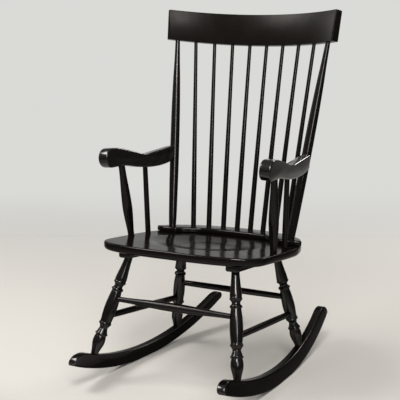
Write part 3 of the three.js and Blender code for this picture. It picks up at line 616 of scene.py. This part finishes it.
# The same lacquer over boards, in a darker copy for the rockers and cleats: its deeper black is painted
# shade. It is glossy only when faced.
lengthwise_lacquer_with_painted_shade = black_lacquer(
    "black_lacquer_lengthwise_grain_with_painted_shade", (1, 0.05, 1), "#060505", "#0f0c0b",
    gloss=0.12, satin=0.2, grain_depth=0.5, shine=1, graze=0.01)
to_seat = seat_matrix.inverted()
cleat_box = Matrix.Translation((0, cleat_thickness / 2, cleat_length / 2))
cleat_box @= Matrix.Diagonal((cleat_width, cleat_thickness, cleat_length, 1))
for label in ("left", "right"):
    front, rear = (to_seat @ leg_axes[end, label][0] for end in ("front", "rear"))
    along = Vector((rear.x - front.x, rear.y - front.y, 0)).normalized()
    across = Vector((0, 0, 1)).cross(along)
    start = front + along * (cleat_front_y - front.y)
    start.z = -seat_thickness - cleat_thickness - cleat_clearance
    cleat_axes = Matrix((across, (0, 0, 1), along)).transposed().to_4x4()
    cleat_place = Matrix.Translation(start)
    cleat_bm = bmesh.new()
    bmesh.ops.create_cube(cleat_bm, size=1, matrix=cleat_box)
    lower_edges = [e for e in cleat_bm.edges if all(v.co.y < 1e-6 for v in e.verts)
                   and abs(e.verts[0].co.z - e.verts[1].co.z) > cleat_length / 2]
    bmesh.ops.bevel(cleat_bm, geom=lower_edges, offset=cleat_round, segments=5, profile=0.5,
                    affect="EDGES", material=-1)
    end_edges = [e for e in cleat_bm.edges if abs(e.verts[0].co.z - e.verts[1].co.z) < 1e-6]
    bmesh.ops.bevel(cleat_bm, geom=end_edges, offset=cleat_ease, segments=2, profile=0.5,
                    affect="EDGES", material=-1)
    finished(f"cleat_{label}", cleat_bm, seat_matrix @ cleat_place @ cleat_axes, lengthwise_lacquer_with_painted_shade,
             [f"seat_cleat_{label}"])


# Cleat screws. Zinc-plated steel, countersunk and driven from below, left bright because they
# went in after the lacquer.
zinc = bpy.data.materials.new("zinc_plated_steel")
zinc.use_nodes = True
zinc_place = add_node(zinc.node_tree, "ShaderNodeTexCoord").outputs["Object"]
# The plating's blotches are about 1 mm across, and shift its grey and its gloss a little.
zinc_blotch = add_node(zinc.node_tree, "ShaderNodeTexNoise", {
    "Vector": zinc_place, "Scale": 900, "Detail": 3})
zinc_colour = add_node(zinc.node_tree, "ShaderNodeMix", {
    "Factor": zinc_blotch.outputs["Fac"], "A": linear_colour("#85878a"), "B": linear_colour("#a9abad")},
    data_type="RGBA")
zinc_roughness = add_node(zinc.node_tree, "ShaderNodeMapRange", {
    "Value": zinc_blotch.outputs["Fac"], "To Min": 0.25, "To Max": 0.45})
zinc_surface = zinc.node_tree.nodes["Principled BSDF"]
zinc_surface.inputs["Metallic"].default_value = 1
zinc.node_tree.links.new(zinc_colour.outputs["Result"], zinc_surface.inputs["Base Color"])
zinc.node_tree.links.new(zinc_roughness.outputs["Result"], zinc_surface.inputs["Roughness"])
for label in ("left", "right"):
    for number in (1, 2):
        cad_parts[f"cleat_screw_{label}_{number}"].material_slots[0].material = zinc


# Rockers. Two runners sawn from board 25.5 mm thick on a radius of about a metre, with a round
# nose at each end and eased edges. They lean and toe in with the legs that are tenoned into them.
rocker_width = 0.0255
rocker_ease = 0.004
rocker_front_reach = 0.4085
rocker_rear_reach = 0.4427
rocker_nose_length = 0.058
rocker_toe_length = 0.009
rocker_tip_share = 0.26
rocker_tip = rocker_tip_share * rocker_depth
# The reaches and lengths above, as angles round the rocker's centre.
rocker_front = math.asin(-rocker_front_reach / rocker_radius)
rocker_rear = math.asin(rocker_rear_reach / rocker_radius)
rocker_flat = math.asin(rocker_flat_half / rocker_radius)
rocker_nose = rocker_nose_length / rocker_radius
rocker_toe = rocker_toe_length / rocker_radius


def rocker_point(angle, up):
    """The point at this angle round the rocker's centre, so far above the tread's arc."""
    radius = rocker_radius - up
    return Vector((radius * math.sin(angle) - rocker_centre, rocker_centre_height - radius * math.cos(angle)))


def rocker_arc(start, end, up, steps):
    """Points from one angle to another, so far above the tread's arc."""
    return [rocker_point(start + (end - start) * i / steps, up) for i in range(steps + 1)]


def rocker_nose_line(tip, inwards):
    """A nose from the tread up: a short quarter ellipse to the tip and a long one to the upper arc."""
    short = [math.pi / 2 * i / 6 for i in range(1, 7)]
    long = [math.pi / 2 * i / 14 for i in range(1, 14)]
    line = [rocker_point(tip + inwards * rocker_toe * (1 - math.sin(turn)), rocker_tip * (1 - math.cos(turn)))
            for turn in short]
    return line + [
        rocker_point(tip + inwards * rocker_nose * (1 - math.cos(turn)),
                     rocker_tip + (rocker_depth - rocker_tip) * math.sin(turn))
        for turn in long
    ]


rocker_outline = rocker_arc(rocker_front + rocker_toe, -rocker_flat, 0, 24)
rocker_outline += rocker_arc(rocker_flat, rocker_rear - rocker_toe, 0, 24)
rocker_outline += rocker_nose_line(rocker_rear, -1)
rocker_outline += rocker_arc(rocker_rear - rocker_nose, rocker_front + rocker_nose, rocker_depth, 48)
rocker_outline += rocker_nose_line(rocker_front, 1)[::-1]
for side, label in sides:
    rocker_bm = sawn_board(rocker_outline, rocker_width, rocker_ease, rocker_ease, 4)
    bmesh.ops.translate(rocker_bm, vec=(0, 0, -rocker_width / 2), verts=rocker_bm.verts)
    lean = Matrix(((1, 0, 0, 0), (0, 1, 0, 0), (0, -side * side_splay, 1, 0), (0, 0, 0, 1)))
    rocker_axes = board_axes(Vector((-side * side_toe, 1, 0)).normalized())
    finished(f"runner_{label}", rocker_bm, Matrix.Translation(side_plane(side, 0, 0)) @ rocker_axes @ lean,
             lengthwise_lacquer_with_painted_shade, [f"rocker_{label}"])


# Studio. A plain pale floor and a paper sweep behind the chair, with dim surroundings that keep the
# lacquer black. Soft lamps stand where the photograph's light comes from.
camera_azimuth = math.radians(29.06)
camera_pitch = math.radians(9.97)
camera_turn = Matrix.Rotation(camera_azimuth, 4, "Z")


def backdrop_paper(name, near, far, room):
    """Matt paper with a faint cloudy fibre: one colour round the chair, one far behind it that shows
    evenly, and a darker one to the sides and in front. The darker one is painted shade, standing in
    for a dim room beyond the lamps."""
    material = bpy.data.materials.new(name)
    material.use_nodes = True
    tree = material.node_tree
    place = add_node(tree, "ShaderNodeTexCoord").outputs["Object"]
    fibre = add_node(tree, "ShaderNodeTexNoise", {"Vector": place, "Scale": 3, "Detail": 2})
    back = add_node(tree, "ShaderNodeVectorMath", {
        0: place, 1: camera_turn @ Vector((0, 1, 0))}, operation="DOT_PRODUCT").outputs["Value"]
    across = add_node(tree, "ShaderNodeVectorMath", {
        0: place, 1: camera_turn @ Vector((1, 0, 0))}, operation="DOT_PRODUCT").outputs["Value"]
    sideways = add_node(tree, "ShaderNodeMath", {0: across}, operation="ABSOLUTE").outputs["Value"]
    # How far a point lies outside a wedge that opens behind the chair, or in front of the chair.
    widening = add_node(tree, "ShaderNodeMath", {0: back, 1: -0.5, 2: sideways}, operation="MULTIPLY_ADD")
    forward = add_node(tree, "ShaderNodeMath", {0: back, 1: -1.6}, operation="MULTIPLY")
    outside = add_node(tree, "ShaderNodeMath", {
        0: widening.outputs["Value"], 1: forward.outputs["Value"], 2: 0.4}, operation="SMOOTH_MAX")
    cloudy = add_node(tree, "ShaderNodeMath", {
        0: fibre.outputs["Fac"], 1: 0.2, 2: back}, operation="MULTIPLY_ADD")
    fade_back = add_node(tree, "ShaderNodeMapRange", {
        "Value": cloudy.outputs["Value"], "From Min": 0.6, "From Max": 3.6},
        interpolation_type="SMOOTHSTEP")
    # Beyond the wedge the paper turns to the darker room colour, which is painted shade.
    painted_shade_fade = add_node(tree, "ShaderNodeMapRange", {
        "Value": outside.outputs["Value"], "From Min": 0.66, "From Max": 1.3},
        interpolation_type="SMOOTHSTEP")
    pale = add_node(tree, "ShaderNodeMix", {
        "Factor": fade_back.outputs["Result"], "A": linear_colour(near), "B": linear_colour(far)},
        data_type="RGBA")
    colour = add_node(tree, "ShaderNodeMix", {
        "Factor": painted_shade_fade.outputs["Result"], "A": pale.outputs["Result"], "B": linear_colour(room)},
        data_type="RGBA")
    surface = tree.nodes["Principled BSDF"]
    surface.inputs["Roughness"].default_value = 0.9
    surface.inputs["Specular IOR Level"].default_value = 0.2
    tree.links.new(colour.outputs["Result"], surface.inputs["Base Color"])
    # The far paper shows its own colour to the camera and in reflections, and lights nothing.
    rays = add_node(tree, "ShaderNodeLightPath").outputs
    seen = add_node(tree, "ShaderNodeMath", {
        0: rays["Is Camera Ray"], 1: rays["Is Glossy Ray"]}, operation="MAXIMUM")
    seen = add_node(tree, "ShaderNodeMath", {
        0: seen.outputs["Value"], 1: rays["Is Transmission Ray"]}, operation="MAXIMUM")
    even = add_node(tree, "ShaderNodeMath", {
        0: seen.outputs["Value"], 1: fade_back.outputs["Result"]}, operation="MULTIPLY")
    glow = add_node(tree, "ShaderNodeEmission", {"Color": colour.outputs["Result"], "Strength": 1})
    shown = add_node(tree, "ShaderNodeMixShader", {
        0: even.outputs["Value"], 1: surface.outputs["BSDF"], 2: glow.outputs["Emission"]})
    tree.links.new(shown.outputs["Shader"], tree.nodes["Material Output"].inputs["Surface"])
    return material


paper = backdrop_paper("matt_backdrop_paper", "#d0cfcc", "#dadad7", "#7c7a76")


def stage_piece(name, bm):
    """Turns a part of the studio to face the camera, and covers it in the paper."""
    bmesh.ops.transform(bm, matrix=camera_turn, verts=bm.verts)
    mesh = bpy.data.meshes.new(name)
    bm.to_mesh(mesh)
    bm.free()
    mesh.shade_smooth()
    mesh.materials.append(paper)
    piece = bpy.data.objects.new(name, mesh)
    bpy.context.collection.objects.link(piece)


floor_bm = bmesh.new()
bmesh.ops.create_grid(floor_bm, x_segments=1, y_segments=1, size=18)
stage_piece("studio_floor", floor_bm)

# The sweep lies on the floor behind the chair, curls up and ends as a wall.
sweep_half_width = 2.2
sweep_front_y = 2
sweep_flat = 1.4
sweep_bend = 1.5
sweep_wall = 1.5
sweep_lift = 0.001
sweep_bm = bmesh.new()
sweep_front = [
    sweep_bm.verts.new((x, sweep_front_y, sweep_lift)) for x in (-sweep_half_width, sweep_half_width)
]
floor_run = bmesh.ops.extrude_edge_only(sweep_bm, edges=[sweep_bm.edges.new(sweep_front)])["geom"]
floor_end = [g for g in floor_run if isinstance(g, bmesh.types.BMVert)]
bmesh.ops.translate(sweep_bm, vec=(0, sweep_flat, 0), verts=floor_end)
curl_start = [g for g in floor_run
              if isinstance(g, bmesh.types.BMEdge) and all(v in floor_end for v in g.verts)]
curled = bmesh.ops.spin(sweep_bm, geom=curl_start + floor_end, axis=(1, 0, 0), angle=math.pi / 2, steps=32,
                        cent=(0, sweep_front_y + sweep_flat, sweep_lift + sweep_bend))["geom_last"]
curl_end = [g for g in curled if isinstance(g, bmesh.types.BMEdge)]
wall = bmesh.ops.extrude_edge_only(sweep_bm, edges=curl_end)["geom"]
wall_top = [g for g in wall if isinstance(g, bmesh.types.BMVert)]
bmesh.ops.translate(sweep_bm, vec=(0, 0, sweep_wall), verts=wall_top)
bmesh.ops.recalc_face_normals(sweep_bm, faces=sweep_bm.faces)
stage_piece("studio_sweep", sweep_bm)

# The surroundings are dim at eye level and lighter overhead.
world = bpy.data.worlds.new("studio")
bpy.context.scene.world = world
world.use_nodes = True
towards = add_node(world.node_tree, "ShaderNodeTexCoord").outputs["Generated"]
upward = add_node(world.node_tree, "ShaderNodeVectorMath", {
    0: towards, 1: (0, 0, 1)}, operation="DOT_PRODUCT")
room = add_node(world.node_tree, "ShaderNodeMapRange", {
    "Value": upward.outputs["Value"], "From Min": 0, "From Max": 0.8, "To Min": 0.08, "To Max": 0.3})
world.node_tree.nodes["Background"].inputs["Color"].default_value = linear_colour("#f6f4f0")
world.node_tree.links.new(room.outputs["Result"], world.node_tree.nodes["Background"].inputs["Strength"])


def soft_lamp(name, azimuth, height_angle, distance, width, height, power, colour="#fffaf4"):
    """A soft lamp that shines on the seat, from an angle in degrees round from the front, positive to
    the right, and another above the floor. Its distance and size are in metres, its power in watts."""
    lamp = bpy.data.lights.new(name, "AREA")
    lamp.shape = "RECTANGLE"
    lamp.size = width
    lamp.size_y = height
    lamp.energy = power
    lamp.color = linear_colour(colour)[:3]
    holder = bpy.data.objects.new(name, lamp)
    turn, rise = math.radians(azimuth), math.radians(height_angle)
    level = math.cos(rise)
    towards_lamp = Vector((math.sin(turn) * level, -math.cos(turn) * level, math.sin(rise)))
    holder.location = Vector((0, 0, 0.5)) + towards_lamp * distance
    holder.rotation_euler = towards_lamp.to_track_quat("Z", "Y").to_euler()
    bpy.context.collection.objects.link(holder)


soft_lamp("softbox_by_camera", 41, 24, 4, 0.8, 1.6, 33)
soft_lamp("softbox_over_camera", 25, 44, 4, 1.1, 1.4, 96)
soft_lamp("softbox_left", -56, 47, 3.3, 1.5, 1.2, 64)
soft_lamp("softbox_far_left", -90, 18, 3.4, 1, 2, 18)
soft_lamp("softbox_rear_right", 168, 28, 3.5, 0.8, 0.8, 40)

camera_data = bpy.data.cameras.new("photo_camera")
camera_data.sensor_width = 36
camera_data.lens = 94.5
camera = bpy.data.objects.new("photo_camera", camera_data)
camera.location = (1.5244, -2.8326, 1.1019)
camera.rotation_euler = (math.pi / 2 - camera_pitch, 0, camera_azimuth)
bpy.context.collection.objects.link(camera)
bpy.context.scene.camera = camera
bpy.context.scene.view_settings.view_transform = "Standard"
